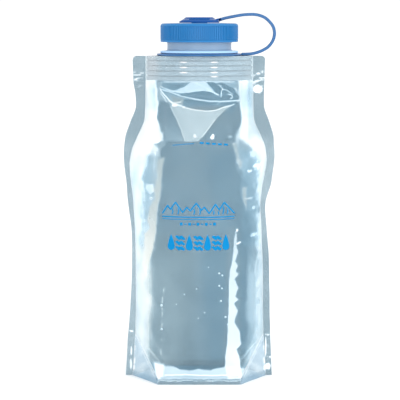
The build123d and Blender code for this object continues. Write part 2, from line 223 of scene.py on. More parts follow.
# ---- Materials ----
class Shader:
    """The nodes of one material, with a short call for each kind that is used here."""

    def __init__(self, name):
        self.material = bpy.data.materials.new(name)
        self.material.use_nodes = True
        self.tree = self.material.node_tree
        self.tree.nodes.clear()

    def feed(self, socket, value):
        """Links a socket to another one, or sets its own number or colour."""
        if isinstance(value, bpy.types.NodeSocket):
            self.tree.links.new(value, socket)
        elif isinstance(value, tuple):
            socket.default_value = (*value, 1)
        else:
            socket.default_value = value

    def node(self, kind, **values):
        """A node with its settings set, and its inputs fed by name."""
        node = self.tree.nodes.new(kind)
        for key, value in values.items():
            name = key.replace("_", " ")
            if name in node.inputs:
                self.feed(node.inputs[name], value)
            else:
                setattr(node, key, value)
        return node

    def painted(self, name):
        """What paint() stored under a name."""
        return self.node("ShaderNodeAttribute", attribute_name=name).outputs["Fac"]

    def noise(self, coords, **values):
        """Cloudy noise over the object's coordinates."""
        return self.node("ShaderNodeTexNoise", Vector=coords, **values).outputs["Fac"]

    def math(self, operation, *values, clamp=False):
        """One step of arithmetic."""
        node = self.node("ShaderNodeMath", operation=operation, use_clamp=clamp)
        for socket, value in zip(node.inputs, values):
            self.feed(socket, value)
        return node.outputs[0]

    def scaled(self, value, low, high, to_low=0.0, to_high=1.0):
        """A value moved from one range to another, kept inside it."""
        node = self.node("ShaderNodeMapRange", Value=value, From_Min=low, From_Max=high)
        node.inputs["To Min"].default_value = to_low
        node.inputs["To Max"].default_value = to_high
        return node.outputs["Result"]

    def mixed(self, share, first, second, blend_type="MIX"):
        """Two colours mixed."""
        node = self.node("ShaderNodeMix", data_type="RGBA", blend_type=blend_type)
        for index, value in ((0, share), (6, first), (7, second)):
            self.feed(node.inputs[index], value)
        return node.outputs[2]

    def times(self, first, second):
        """The product of two colours."""
        return self.mixed(1.0, first, second, "MULTIPLY")

    def ramp(self, share, stops):
        """A colour from (position, colour) stops."""
        node = self.node("ShaderNodeValToRGB", Fac=share)
        elements = node.color_ramp.elements
        while len(elements) < len(stops):
            elements.new(0.5)
        for element, (position, colour) in zip(elements, stops):
            element.position = position
            element.color = (*colour, 1)
        return node.outputs["Color"]

    def show(self, surface, over=None, share=1.0):
        """Ends the material in one surface, or in two with a share of the second; returns it."""
        surface = surface.outputs[0]
        if over:
            mix = self.node("ShaderNodeMixShader", Fac=share)
            self.feed(mix.inputs[1], surface)
            self.feed(mix.inputs[2], over.outputs[0])
            surface = mix.outputs[0]
        self.node("ShaderNodeOutputMaterial", Surface=surface)
        return self.material


WHITE = (1.0, 1.0, 1.0)
NEAR_WHITE = (0.89, 0.95, 0.97)
BLUISH = (0.84, 0.95, 1.0)
CREAMY = (1.0, 0.94, 0.88)
PLASTIC_IOR = 1.5


def film_material(name, dark, calm, light, gloss=0.09, haze_and_glint_strength=0.42):
    """Clear laminate film: a tinted see-through with painted light and shade, lighter for painted
    reflections and for highlights on its creases, darker for the painted shade of its folds.

    The three tints are for tones -0.5, 0 and 0.5. gloss is how much of the skin shows where the film is
    calm, and the last argument is what its haziest parts and painted glints add.
    """
    shader = Shader(name)
    coords = shader.node("ShaderNodeTexCoord").outputs["Object"]
    cloud = shader.noise(coords, Scale=32.0, Detail=4.0, Roughness=0.55)
    # The painted tone: painted light and shade, from the painted shade of folds to white painted reflections.
    tone = shader.math("ADD", shader.painted("tone"), shader.scaled(cloud, 0.3, 0.7, -0.06, 0.06))
    tone = shader.scaled(tone, -1.0, 1.0)
    hue = shader.scaled(shader.painted("warm"), -1.0, 1.0)
    hue = shader.ramp(hue, [(0.0, BLUISH), (0.5, WHITE), (1.0, CREAMY)])
    tint = shader.ramp(tone, [(0.25, dark), (0.5, calm), (0.75, light), (0.9, NEAR_WHITE), (1.0, WHITE)])
    clear = shader.node("ShaderNodeBsdfTransparent", Color=shader.times(tint, hue))
    pale = shader.ramp(tone, [(0.5, (0.42, 0.55, 0.62)), (0.75, (0.76, 0.86, 0.92)), (1.0, WHITE)])
    grain = shader.noise(coords, Scale=900.0, Detail=2.0)
    ripple = shader.noise(coords, Scale=110.0, Detail=3.0, Distortion=0.6)
    relief = shader.math("MULTIPLY_ADD", grain, 0.10, ripple)
    normal = shader.node("ShaderNodeBump", Strength=0.22, Distance=0.0006, Height=relief).outputs["Normal"]
    skin = shader.node("ShaderNodeBsdfPrincipled", Roughness=0.08, IOR=PLASTIC_IOR, Normal=normal)
    shader.feed(skin.inputs["Base Color"], shader.times(pale, hue))
    slant = shader.node("ShaderNodeLayerWeight", Blend=0.5, Normal=normal).outputs["Facing"]
    veil = shader.math("MULTIPLY_ADD", shader.math("POWER", shader.painted("haze_and_glint"), 2.2), haze_and_glint_strength, gloss)
    cover = shader.math("MULTIPLY_ADD", shader.math("POWER", slant, 4.0), 0.7, veil, clamp=True)
    return shader.show(clear, skin, cover)


def height_band(shader, height, low, high, blur=0.0004):
    """1 between two heights of the object, fading to 0 outside them."""
    above = shader.scaled(height, low - blur, low + blur)
    below = shader.scaled(height, high - blur, high + blur, 1.0, 0.0)
    return shader.math("MULTIPLY", above, below)


def plastic_material(
    name, colour, roughness, clear=0.0, mottle=0.10, bump=0.10, shine=0.5, band=None, stripes=None
):
    """Moulded plastic: slight colour mottle, uneven sheen and fine texture.

    clear is how much is seen through it, band is (low, high, colour) between two heights in metres, and
    stripes is (start, pitch, groove tint) for the painted shade of ribs that run round it.
    """
    shader = Shader(name)
    coords = shader.node("ShaderNodeTexCoord").outputs["Object"]
    height = shader.node("ShaderNodeSeparateXYZ", Vector=coords).outputs["Z"]
    cloud = shader.noise(coords, Scale=55.0, Detail=5.0, Roughness=0.6)
    deeper = tuple(c * (1 - mottle) for c in colour)
    lighter = tuple(min(1.0, c * (1 + mottle)) for c in colour)
    shade = shader.mixed(cloud, deeper, lighter)
    if band:
        low, high, band_colour = band
        shade = shader.mixed(height_band(shader, height, low, high), shade, band_colour)
    # Painted shade of the ribs: light and dark lines, darkest in their grooves.
    if stripes:
        start, pitch, groove = stripes
        turn = shader.math("FRACT", shader.math("MULTIPLY_ADD", height, 1 / pitch, -start / pitch))
        crown = (0.90, 0.90, 0.91)
        stops = [(0.0, groove), (0.10, WHITE), (0.45, crown), (0.68, WHITE), (0.80, groove)]
        shade = shader.times(shade, shader.ramp(turn, stops))
    grain = shader.noise(coords, Scale=1600.0, Detail=2.0)
    normal = shader.node("ShaderNodeBump", Strength=bump, Distance=0.0002, Height=grain).outputs["Normal"]
    skin = shader.node("ShaderNodeBsdfPrincipled", IOR=PLASTIC_IOR, Base_Color=shade, Normal=normal)
    skin.inputs["Specular IOR Level"].default_value = shine
    shader.feed(skin.inputs["Roughness"], shader.scaled(cloud, 0.0, 1.0, roughness - 0.06, roughness + 0.08))
    if not clear:
        return shader.show(skin)
    through = shader.node("ShaderNodeBsdfTransparent", Color=(0.92, 0.95, 1.0))
    return shader.show(skin, through, clear)


CAP_BLUE = plastic_material("cap_blue", (0.008, 0.155, 0.400), 0.42, shine=0.35)
BUTTON_BLUE = plastic_material("button_blue", (0.004, 0.075, 0.290), 0.50, shine=0.12)
STRAP_BLUE = plastic_material("strap_blue", (0.010, 0.100, 0.275), 0.30)
NATURAL = plastic_material(
    "natural_plastic",
    (0.245, 0.365, 0.515),
    0.40,
    clear=0.10,
    mottle=0.05,
    bump=0.03,
    band=(0.2868, 0.2903, (0.42, 0.68, 0.98)),
)
WELD_BASE = plastic_material(
    "weld_base_plastic",
    (0.41, 0.46, 0.505),
    0.42,
    clear=0.10,
    mottle=0.04,
    bump=0.03,
    stripes=(WELD_BASE_Z * MM, RIB_PITCH * MM, (0.84, 0.86, 0.88)),
)
FILM = film_material("film_clear", (0.26, 0.43, 0.56), (0.525, 0.615, 0.665), (0.71, 0.80, 0.84))
FILM_BACK = film_material(
    "film_clear_back", (0.76, 0.83, 0.87), (0.80, 0.86, 0.89), (0.93, 0.96, 0.98), haze_and_glint_strength=0.2
)
WELD = film_material(
    "film_weld", (0.43, 0.53, 0.58), (0.505, 0.59, 0.635), (0.72, 0.79, 0.82), gloss=0.10, haze_and_glint_strength=0.6
)
GUSSET = film_material("film_gusset", (0.54, 0.66, 0.75), (0.62, 0.73, 0.81), (0.71, 0.80, 0.86), gloss=0.05)
INK = plastic_material("print_blue", (0.001, 0.200, 0.470), 0.6, mottle=0.06, shine=0.08)
BUBBLE = plastic_material("bubble_pale", (0.66, 0.82, 0.90), 0.15, clear=0.30, mottle=0.02)


# ---- Pouch shape ----
def fold_share(z):
    """0 at the top of the base weld, 1 where the base fold's tip meets the side weld."""
    return min(1.0, max(0.0, (z - SKIRT_Z) / (FOLD_Z - SKIRT_Z)))


def weld_line(z):
    """Where a panel's edge is at height z: (x, depth in front of the weld plane)."""
    share = fold_share(z)
    if share == 1:
        return reading(BODY_LEVELS, z), 0.0
    x = BASE_HALF_WIDTH + share * (BODY_LEVELS[0][1] - BASE_HALF_WIDTH)
    return x, BASE_HALF_DEPTH * (1 - share)


def half_depth(z):
    """How far the panel's middle stands out at height z."""
    share = fold_share(z)
    if share == 1:
        return reading(BODY_LEVELS, z, 2)
    return BASE_HALF_DEPTH + share * (BODY_LEVELS[0][2] - BASE_HALF_DEPTH)


def bulge(t, share):
    """Depth across a panel, from the flattened oval of the weld base to the filled body."""
    pillow = np.maximum(0.0, 1 - np.abs(t) ** 2.4) ** 0.8
    half_length = BODY_LEVELS[-1][1]
    arc = (np.sqrt(OVAL_R**2 - (t * half_length) ** 2) - OVAL_CENTRE) / (OVAL_R - OVAL_CENTRE)
    return share * np.maximum(0.0, arc) + (1 - share) * pillow


def facet_cut(z, depth, front):
    """The flat V under the spout, where the stretched film can't follow the bulge."""
    lean, apex = (0.125, 204.0) if front else (0.10, 200.0)
    plane = 37.6 - lean * (z - apex)
    fade = smooth(262, 252, z) * smooth(apex - 8, apex - 4, z)
    return depth - fade * np.maximum(0.0, depth - plane)


def folds(x, z, t, seed):
    """Gentle unevenness, puckers along the side welds, and the sagging fold across the throat."""
    free = smooth(WELD_BASE_Z, WELD_BASE_Z - 5, z) * smooth(SKIRT_Z, SKIRT_Z + 6, z)
    move = 0.50 * rough_grid(x, z, 26, 40, seed) + 0.20 * rough_grid(x, z, 9, 14, seed + 1)
    curve = 0.5 + 1.1 * np.exp(-(((z - 214) / 26) ** 2)) + 0.7 * np.exp(-(((z - 130) / 30) ** 2))
    ring = rough_grid(x * 0.35, z + 0.25 * np.abs(x), 14, 5.5, seed + 2)
    move += 0.85 * curve * smooth(0.62, 0.93, np.abs(t)) * ring
    move += 0.55 * smooth(250, 260, z) * rough_grid(x, z, 5.0, 3.4, seed + 3)
    reach = np.maximum(0.0, 1 - (x / 41.0) ** 2)
    hollow = (z - 244.5) / 4.2
    move -= 1.3 * reach**0.8 * np.exp(-hollow * hollow)
    return move * free * smooth(1.0, 0.93, np.abs(t))


def collar_ribs(z):
    """The film over the weld base dips a little into the grooves between its ribs."""
    turn = ((z - WELD_BASE_Z) / RIB_PITCH) % 1.0
    groove = smooth(0.68, 0.80, turn) * smooth(1.02, 0.94, turn)
    return np.where(z > WELD_BASE_Z, -0.35 * groove, 0.0)


# ---- Painted light and shade of the front panel: reflections, highlights and shaded folds. Tone 0 is the calm middle, 1 is white, -1 is deep. ----
# Height, where the calm middle ends, where the side's white painted reflection begins, tone between the two.
LEFT_ZONES = [
    (0, -40, -44, 0.60),
    (31, -44, -47, 0.75),
    (62, -41.6, -45, 0.78),
    (93, -43.8, -46.5, 0.78),
    (117, -42, -52, 0.66),
    (144, -36, -50, 0.48),
    (171, -34, -48.5, 0.40),
    (198, -32, -47, 0.40),
    (205, -34, -42, 0.70),
    (213, -29, -33, 0.70),
    (219, -31, -34, 0.80),
    (232, -36, -38, 0.90),
    (264, -36, -38, 0.90),
]
RIGHT_ZONES = [
    (0, 37, 42, 0.50),
    (24, 36, 42, 0.20),
    (48, 38, 50, 0.20),
    (75, 40, 52, 0.45),
    (100, 40, 52, 0.30),
    (125, 40, 51, 0.12),
    (152, 36, 51, 0.16),
    (175, 37.2, 50.5, 0.26),
    (194, 32.5, 50, 0.34),
    (205, 30, 46, 0.42),
    (216, 32, 35, 0.60),
    (232, 35.5, 37, 0.85),
    (247, 33, 35, 0.85),
    (264, 33.5, 35.5, 0.85),
]
# Outlines (x, z) that the tables below name.
LEFT_CREAM = [
    (-36, 197), (-30, 199), (-33, 182), (-35, 157), (-38, 132), (-44, 104), (-47, 92), (-49, 100),
    (-48, 130), (-44, 137), (-46, 143), (-42, 157), (-38, 162), (-40, 170), (-37, 180),
]
RIGHT_CREAM_HIGH = [(28, 211), (32, 212), (35, 198), (37, 195), (37, 190), (35, 189), (32, 199)]
RIGHT_CREAM_LOW = [(38, 172), (42, 172), (41, 163), (45, 162), (41, 160), (41, 152), (38, 160)]
# A painted reflection: the ragged bright streak on the right.
REFLECTION_STREAK = [
    (32, 137), (30, 128), (29, 113), (26, 97), (25, 58), (24, 32), (22, 15), (35.5, 12), (36, 20), (32.5, 30),
    (37, 34), (35.5, 46), (31, 54), (34, 64), (30, 71), (34.5, 74), (31.5, 77), (34.5, 84), (31, 93),
    (34.5, 96), (31.5, 100), (34, 104), (31, 108), (34, 116), (32.5, 122),
]
# Painted light and shade: reflections, highlights and shaded folds, as patches. Outline, blur of its edge,
# tone at its foot, tone at its top.
PATCHES = [
    # dim part low in the middle
    ([(4, 122), (24, 118), (23, 16), (8, 16)], 7, -0.06, -0.06),
    # dim strip right of the streak
    ([(35, 122), (42, 118), (42, 40), (38, 16), (35, 20)], 3, -0.04, 0.0),
    # pale band low on the right
    ([(43, 102), (48, 96), (49, 70), (47, 46), (41, 56)], 3, 0.42, 0.42),
    # dim part high in the middle
    ([(8, 202), (28, 198), (33, 178), (28, 150), (12, 160), (4, 182)], 8, -0.08, -0.12),
    # blue gap on the left side
    ([(-40, 195), (-35, 196), (-34, 184), (-39, 175), (-46, 175), (-50, 178),
      (-48, 188)], 2.0, 0.38, 0.46),
    # cream strip beside it
    (LEFT_CREAM, 1.2, 0.82, 0.46),
    # pale block between them
    ([(-46, 175), (-40, 175), (-39, 169), (-43, 165), (-47, 171)], 0.6, 0.72, 0.78),
    # small block under it
    ([(-44, 164), (-40, 164), (-41, 161), (-44, 161)], 0.6, 0.70, 0.70),
    # cream strips on the right side
    (RIGHT_CREAM_HIGH, 0.9, 0.42, 0.42),
    (RIGHT_CREAM_LOW, 0.7, 0.40, 0.40),
    # paler right shoulder
    ([(35, 213), (46, 205), (45.5, 199), (35.5, 197), (33.5, 206.5)], 1.6, 0.35, 0.30),
    # paler left shoulder
    ([(-39, 209.5), (-29, 214), (-29, 209), (-34, 205.5)], 1.2, 0.30, 0.20),
    # pane left of the V
    ([(-34, 247), (-29, 247), (-25, 242), (-19.5, 232), (-14, 220), (-13, 213), (-29, 213.5),
      (-30, 219.5), (-34, 226), (-36, 232), (-36, 241)], 1.2, 0.24, -0.10),
    # pane right of the V
    ([(31, 244), (34.5, 246), (36.5, 232), (35, 224.5), (28.5, 221), (23.5, 213), (2, 213.5), (8, 224),
      (14, 232), (23.5, 240.5)], 1.2, -0.03, -0.06),
    # its deepest part
    ([(31, 241), (24, 226), (14, 217.5), (6.5, 216.5), (14, 232), (23.5, 240.5)], 1.5, -0.20, -0.42),
    # throat
    ([(-37, 264), (34, 264), (35, 246.5), (6, 245), (-36, 247)], 1.2, 0.30, 0.34),
    # its top left
    ([(-31, 262.5), (-19.5, 263.5), (-6.5, 264), (-13.5, 259.5), (-22.5, 256.5),
      (-33, 258)], 0.8, 0.05, 0.16),
    # its crumpled right
    ([(5.5, 264), (20, 262), (30, 257), (34.5, 250.5), (34, 248), (17, 248), (16.5, 252),
      (12, 258)], 0.9, -0.50, -0.40),
    # bright triangle under the spout
    ([(-7, 264), (5, 264.5), (17, 252), (9.5, 255.5), (2, 256.5), (-12, 255), (-23, 255.5),
      (-13.5, 259.5)], 0.6, 0.72, 0.66),
    # pale pane at the left
    ([(-33.5, 257), (-25, 255), (-14, 250), (-14.5, 242.5), (-19, 244.5), (-25, 242.5),
      (-29.5, 248)], 0.9, 0.32, 0.22),
    # upper lens
    ([(-16.5, 254), (-6, 255.5), (3.5, 256.5), (12, 255), (16.5, 251), (17, 247.5), (6, 248), (-6, 250),
      (-16.5, 252.5)], 0.6, -0.45, -0.75),
    # lower lens
    ([(-14, 249), (-6, 248.5), (6, 246.5), (17, 246), (31, 246), (21.5, 242), (13.5, 239.5),
      (5.5, 239.5), (-6, 240.5), (-13.5, 242.5)], 0.7, -0.50, -0.38),
    # the V
    ([(-25, 242.5), (-19, 244.5), (-13.5, 242.5), (-6, 240.5), (5.5, 239), (13.5, 239.5), (21.5, 242),
      (28.5, 243.5), (14, 232), (8, 224.5), (2, 216.5), (-1, 213), (-12.5, 213), (-14.5, 220.5),
      (-19.5, 232)], 0.7, 0.50, 0.43),
    # bright streak, a painted reflection
    (REFLECTION_STREAK, 0.35, 0.84, 0.62),
    # pale wave along the foot
    ([(-33, 16), (-23, 16), (-17, 13.5), (-9, 13), (0, 14), (10, 13), (17, 14.5), (24, 15.5), (40, 13),
      (37, 4.5), (-37, 4.5)], 0.8, 0.68, 0.68),
    # foot's right end
    ([(23, 15), (36, 15), (37, 5.5), (25, 5.5)], 1.0, 1.0, 1.0),
    # foot's left end
    ([(-40, 18), (-31, 17), (-32, 7), (-38, 4)], 1.6, 1.0, 0.95),
    # bright line along the foot
    ([(-38, 4), (38, 4), (38, 3), (-38, 3)], 0.4, 0.78, 0.78),
    # film below that line
    ([(-38, 3), (38, 3), (38, -1), (-38, -1)], 0.4, 0.36, 0.36),
]
# Middle (x, z), half width, half height, tone: painted glints on small dents.
DENT_GLINTS = [
    (-48.5, 142, 1.4, 0.9, 0.75),
    (34.5, 195, 1.5, 2.2, 0.55),
    (43.7, 186, 3.0, 1.2, 0.85),
    (43.5, 162, 2.8, 1.0, 0.65),
    (47.5, 153, 2.2, 1.6, 0.65),
    (50.5, 190, 3.0, 3.2, 0.95),
    (47, 201, 3.0, 2.4, 0.75),
    (48.5, 129, 2.4, 1.8, 0.75),
    (11, 217, 2.2, 2.1, 1.0),
    (34.0, 124, 2.2, 1.0, 0.9),
    (33.0, 135, 1.0, 1.4, 0.9),
    (-3.9, 218, 1.7, 1.7, 0.75),
    (27, 216.6, 1.5, 1.4, 0.36),
    (-46, 262, 3.0, 2.0, 1.0),
    (-21, 244.0, 2.4, 1.5, 0.90),
    (-13.3, 242.6, 1.3, 1.0, 0.85),
]
# Route, half width, how far it lifts the film, tone: creases, painted with highlights along them.
CREASES = [
    # fold across the throat
    ([(-34, 257.5), (-26.5, 255.5), (-16.5, 252), (-6, 249.5), (6, 248)], 0.35, 1.0, 0.80),
    ([(-8, 250), (0, 248.5), (8, 247.5), (18, 247), (34, 247.5)], 0.70, 1.2, 0.70),
    # edge over the upper lens
    ([(-33, 259.5), (-24, 256), (-13, 254.5), (2, 256.5), (10, 255.5), (17, 252.5)], 0.40, 0.5, 0.80),
    # the V's edges
    ([(-25, 242.5), (-19.5, 232), (-14.5, 220.5), (-12.5, 214)], 0.40, 0.5, 0.66),
    ([(-19, 244.5), (-13.5, 242.5), (-6, 240.5), (5.5, 239), (13.5, 239.5), (21.5, 242),
      (30, 244)], 0.45, 0.6, 0.80),
    ([(14, 232), (8, 224.5), (2, 216.5)], 0.40, 0.4, 0.70),
    # glints at the left
    ([(-27, 247), (-21, 246), (-16, 246.5)], 0.50, 0.5, 0.70),
    ([(-33.5, 256.5), (-29, 251), (-24, 246), (-21.5, 243.5)], 0.45, 0.7, 0.95),
    ([(-33.5, 254), (-30, 249), (-28.5, 246)], 0.35, 0.5, 0.85),
    # painted glints on crumples at the right
    ([(15, 263), (16, 261)], 0.25, 0.4, 0.70),
    ([(17, 261), (20, 258), (19, 255), (19, 251)], 0.40, 0.6, 0.95),
    ([(20, 257.5), (24, 256.5), (26, 255)], 0.35, 0.5, 0.90),
    ([(26.5, 254.5), (28.5, 253)], 0.35, 0.5, 0.90),
    ([(24.5, 253), (28.5, 252), (28.5, 250), (27, 249.5)], 0.38, 0.6, 0.97),
    ([(12, 255), (17, 253)], 0.35, 0.4, 0.75),
    ([(15, 244), (19, 247)], 0.25, 0.3, 0.70),
    ([(31, 258), (32.5, 256)], 0.35, 0.4, 0.80),
    # foot of the weld base
    ([(-30, 263.5), (-10, 264), (8, 264), (30, 263.5)], 0.45, 0.3, 0.70),
    ([(-5, 264), (3, 260), (10, 255.5)], 0.30, 0.3, 0.75),
    # lines along the foot
    ([(-30, 8), (-12, 9), (8, 8), (30, 8.5)], 0.30, 0.2, 1.0),
    ([(-34, 6.5), (0, 7), (34, 6.5)], 0.25, 0.2, 0.55),
]
# Outline, blur, warmth: where the film looks creamy (above 0) or blue (below 0).
WARM_PATCHES = [
    # middle
    ([(-46, 132), (-4, 132), (-6, 18), (-46, 18)], 10, 0.28),
    ([(2, 128), (50, 128), (50, 18), (8, 18)], 8, -0.38),
    # right side
    ([(8, 205), (50, 205), (52, 124), (14, 128)], 8, -0.30),
    ([(36, 205), (52, 202), (52, 120), (38, 120)], 4, -0.60),
    # left side
    ([(-60, 202), (-42, 200), (-41, 170), (-50, 120), (-60, 118)], 4, -0.45),
    # cream strips
    (LEFT_CREAM, 1.5, 0.80),
    (RIGHT_CREAM_HIGH, 1, 0.40),
    (RIGHT_CREAM_LOW, 1, 0.40),
    # low on the left
    ([(-48, 102), (-42, 102), (-41, 60), (-43, 28), (-47, 30)], 2, 0.38),
    # streak
    ([(24, 138), (34.5, 138), (37, 10), (21, 10)], 1.5, 0.0),
    # throat
    ([(-30, 264), (32, 264), (34, 248), (28, 238), (-12, 240), (-34, 256)], 3, -0.50),
    ([(-25, 252), (-14, 250), (-14, 244), (-22, 244)], 1.5, 0.45),
    # the V
    ([(-25, 243), (28, 243), (0, 213), (-13, 213)], 1.5, 0.35),
    # under the spout
    ([(-44, 264), (-37, 264), (-38, 236), (-42, 236)], 2, -0.55),
    ([(36, 262), (46, 262), (46, 232), (37, 232)], 2, -0.55),
    # foot
    ([(-60, 17), (60, 17), (60, 3), (-60, 3)], 1.5, -0.45),
]
# A painted highlight along a thin broken crease on the left.
THIN_LINE = [(-30.7, 88), (-32.6, 70), (-33, 48), (-33.6, 22)]
# Glints on the ribs of the weld base: middle x, heights.
COLLAR_GLINTS = [(-13.5, (280.6, 276.2, 271.8)), (12.9, (280.6, 276.2, 271.8, 268.4))]


def zones(table, z, column):
    """A column of a zones table, straight between its heights."""
    return np.interp(z, [row[0] for row in table], [row[column] for row in table])


def front_look(x, z):
    """Painted light and shade (the tone), haziness with painted glints, lift and warmth over the front panel.
    """
    fray_x = 0.9 * rough_grid(x, z, 3.2, 5.5, 71) + 1.3 * rough_grid(x, z, 11, 17, 72)
    fray_z = 0.6 * rough_grid(x, z, 4.5, 3.4, 73)
    left_in, left_out, left_tone = [zones(LEFT_ZONES, z, column) for column in (1, 2, 3)]
    right_in, right_out, right_tone = [zones(RIGHT_ZONES, z, column) for column in (1, 2, 3)]
    wide = smooth(236, 200, z)
    soft = 0.9 + 1.6 * wide
    fray = fray_x * (1 + 1.2 * wide)
    tone = 0.01 + 0.03 * smooth(140, 100, z) + 0.05 * rough_grid(x, z, 30, 45, 74)
    tone += 0.14 * smooth(-6, -30, x) * smooth(128, 96, z)
    hazy = soft + 2.5 * smooth(125, 100, z)
    mix = smooth(hazy, -hazy, x + fray - left_in)
    tone += mix * (left_tone + 0.16 * rough_grid(x, z, 7, 12, 75) - tone)
    mix = smooth(-soft, soft, x + fray - right_in)
    tone += mix * (right_tone + 0.14 * rough_grid(x, z, 7, 12, 76) - tone)
    # The sides' white painted reflections, blotchy and dimmer in places.
    blotch = 0.16 * rough_grid(x, z, 6, 14, 78)
    pale = 0.97 - 0.17 * smooth(236, 244, z) * smooth(262, 254, z)
    pale += blotch * (0.8 + 0.5 * smooth(230, 240, z))
    pale -= 0.12 * smooth(205, 192, z) + 0.12 * smooth(120, 100, z)
    tone += smooth(1.4 * soft, -1.4 * soft, x + 1.3 * fray - left_out) * (pale - tone)
    pale -= 0.08 + 0.02 * smooth(125, 100, z) + 0.22 * smooth(41, 44, x) * smooth(208, 220, z)
    tone += smooth(-1.4 * soft, 1.4 * soft, x + 1.3 * fray - right_out) * (pale - tone)
    dents = 0.75 * rough_grid(x, z, 2.0, 1.7, 79)
    lift = np.zeros(x.shape)
    for outline, blur, low, high in PATCHES:
        heights = [point[1] for point in outline]
        ragged = 1.0 if blur < 4 else 2.5
        depth = inside(outline, x + 0.6 * ragged * fray_x, z + ragged * fray_z)
        share = (z - min(heights)) / (max(heights) - min(heights))
        mix = smooth(-blur, blur, depth)
        tone += mix * (low + (high - low) * np.clip(share, 0, 1) - tone)
        if low > 0.4 and blur < 1.5:
            lift += 0.25 * smooth(-1, 2, depth)
    for centre_x, centre_z, half_x, half_z, bright in DENT_GLINTS:
        away = np.hypot((x + 0.8 * fray_x - centre_x) / half_x, (z + fray_z - centre_z) / half_z)
        mix = smooth(1.3, 0.7, away + dents)
        tone += mix * (bright - tone)
        lift += 0.3 * mix
    for route, half_width, height, bright in CREASES:
        away = beside(route, x + 0.35 * fray_x, z + 0.5 * fray_z)
        mix = smooth(half_width + 0.5, half_width - 0.4, away)
        tone += mix * (bright - tone)
        lift += height * np.exp(-((away / (half_width + 0.9)) ** 2))
    broken = smooth(-0.25, 0.15, rough_grid(x, z, 50, 4.5, 77))
    mix = broken * smooth(0.8, 0.1, beside(THIN_LINE, x + 0.3 * fray_x, z))
    tone += mix * (0.66 - tone)
    lift += 0.3 * mix
    warm = 0.15 * rough_grid(x, z, 14, 22, 80)
    for outline, blur, value in WARM_PATCHES:
        warm += smooth(-blur, blur, inside(outline, x + fray_x, z + fray_z)) * (value - warm)
    collar = smooth(WELD_BASE_Z - 0.4, WELD_BASE_Z + 0.4, z)
    warm *= 1 - collar
    tone += collar * (0.80 + 0.10 * smooth(-30, -40, x) - tone)
    haze_and_glint = np.maximum(0.0, tone) * (1 + 0.25 * smooth(18, 14, z)) * (1 - collar) + 0.15 * collar
    for centre_x, heights in COLLAR_GLINTS:
        for centre_z in heights:
            glint = smooth(1.2, 0.5, np.hypot((x - centre_x) / 4.4, (z - centre_z) / 0.85))
            haze_and_glint = np.maximum(haze_and_glint, 0.95 * glint)
            tone = np.maximum(tone, glint)
    return tone, haze_and_glint, lift, warm


def back_look(x, z, t):
    """The plainer back: painted light on its sides, a paler painted V and a painted highlight along its own
    sagging fold.
    """
    soft_side = smooth(0.74, 0.98, np.abs(t) + 0.05 * rough_grid(x, z, 9, 12, 81))
    tone = 0.8 * soft_side + 0.06 * rough_grid(x, z, 18, 30, 82)
    facet = inside([(-26, 243), (26, 243), (5, 212), (-5, 212)], x, z)
    tone += smooth(-1.5, 1.5, facet) * (0.30 - tone)
    away = beside([(-36, 256), (-12, 249), (12, 248), (36, 254)], x, z)
    tone += smooth(1.4, 0.4, away) * (0.6 - tone)
    collar = smooth(WELD_BASE_Z - 0.4, WELD_BASE_Z + 0.4, z)
    tone += collar * (0.80 - tone)
    haze_and_glint = np.maximum(0.0, tone) * (1 - collar) + 0.15 * collar
    return tone, haze_and_glint, 1.2 * np.exp(-((away / 2.0) ** 2)), 0 * tone


def panel_rows(fine):
    """Heights of the rows of a panel's grid, closest together where it is creased."""
    stretches = [
        (0, SKIRT_Z, 7),
        (SKIRT_Z, FOLD_Z, int(48 * fine)),
        (FOLD_Z, 208, int(200 * fine)),
        (208, WELD_BASE_Z, int(104 * fine)),
        (WELD_BASE_Z, SHOULDER_Z, 56),
    ]
    rows = [low + (high - low) * i / count for low, high, count in stretches for i in range(count)]
    return rows + [SHOULDER_Z]


def film_panel(name, front, material, node, seed):
    """One bulged, creased panel, from the floor to the top of the weld base."""
    columns = 211 if front else 111
    rows = panel_rows(1.0 if front else 0.55)
    levels = []
    for z in rows:
        level = min(z, WELD_BASE_Z)
        levels.append((*weld_line(level), half_depth(level), reading(RIGHT_BODY_PULL, z)))
    edge_x, edge_depth, depths, pull = np.array(levels).T[:, :, None]
    t = np.sin((np.arange(columns) / (columns - 1) - 0.5) * np.pi)[None, :] * np.ones((len(rows), 1))
    z = np.array(rows)[:, None] * np.ones((1, columns))
    x = t * (edge_x + pull * (t > 0))
    depth = edge_depth + (depths - edge_depth) * bulge(t, smooth(195, WELD_BASE_Z, z))
    depth = facet_cut(z, depth, front)
    tone, haze_and_glint, lift, warm = front_look(x, z) if front else back_look(x, z, t)
    free = smooth(WELD_BASE_Z, WELD_BASE_Z - 3, z) * smooth(SKIRT_Z - 2, SKIRT_Z + 4, z)
    within = np.abs(t) < 0.9999
    depth += within * (folds(x, z, t, seed) + lift * free * smooth(1.0, 0.93, np.abs(t)) + collar_ribs(z))
    depth = np.maximum(depth, edge_depth)
    side = -1 if front else 1
    points = np.stack([x, side * depth, z], axis=-1).reshape(-1, 3)
    faces = grid_faces(columns, len(rows), flip=not front)
    piece = mesh_piece(name, points, faces, material)
    paint(piece, tone.ravel(), haze_and_glint.ravel(), warm.ravel())
    thicken(piece, PLY)
    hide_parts(node)
    return points, faces


FRONT_POINTS, FRONT_FACES = film_panel("film_front", True, FILM, "front_film_panel", 1.0)
film_panel("film_back", False, FILM_BACK, "back_film_panel", 4.0)
FRONT_SURFACE = BVHTree.FromPolygons([tuple(point) for point in FRONT_POINTS], FRONT_FACES)


# ---- Printing and bubbles on the front ----
PRINT_LIFT = 0.10
SKYLINE = [
    (-32.0, 150.2), (-27.4, 157.4), (-25.0, 154.0), (-20.6, 160.4), (-14.4, 151.6), (-10.8, 156.2),
    (-7.8, 153.0), (-2.6, 159.8), (1.8, 153.6), (4.4, 156.4), (8.6, 150.8), (14.0, 158.8), (17.4, 153.8),
    (21.6, 160.2), (30.6, 150.2),
]
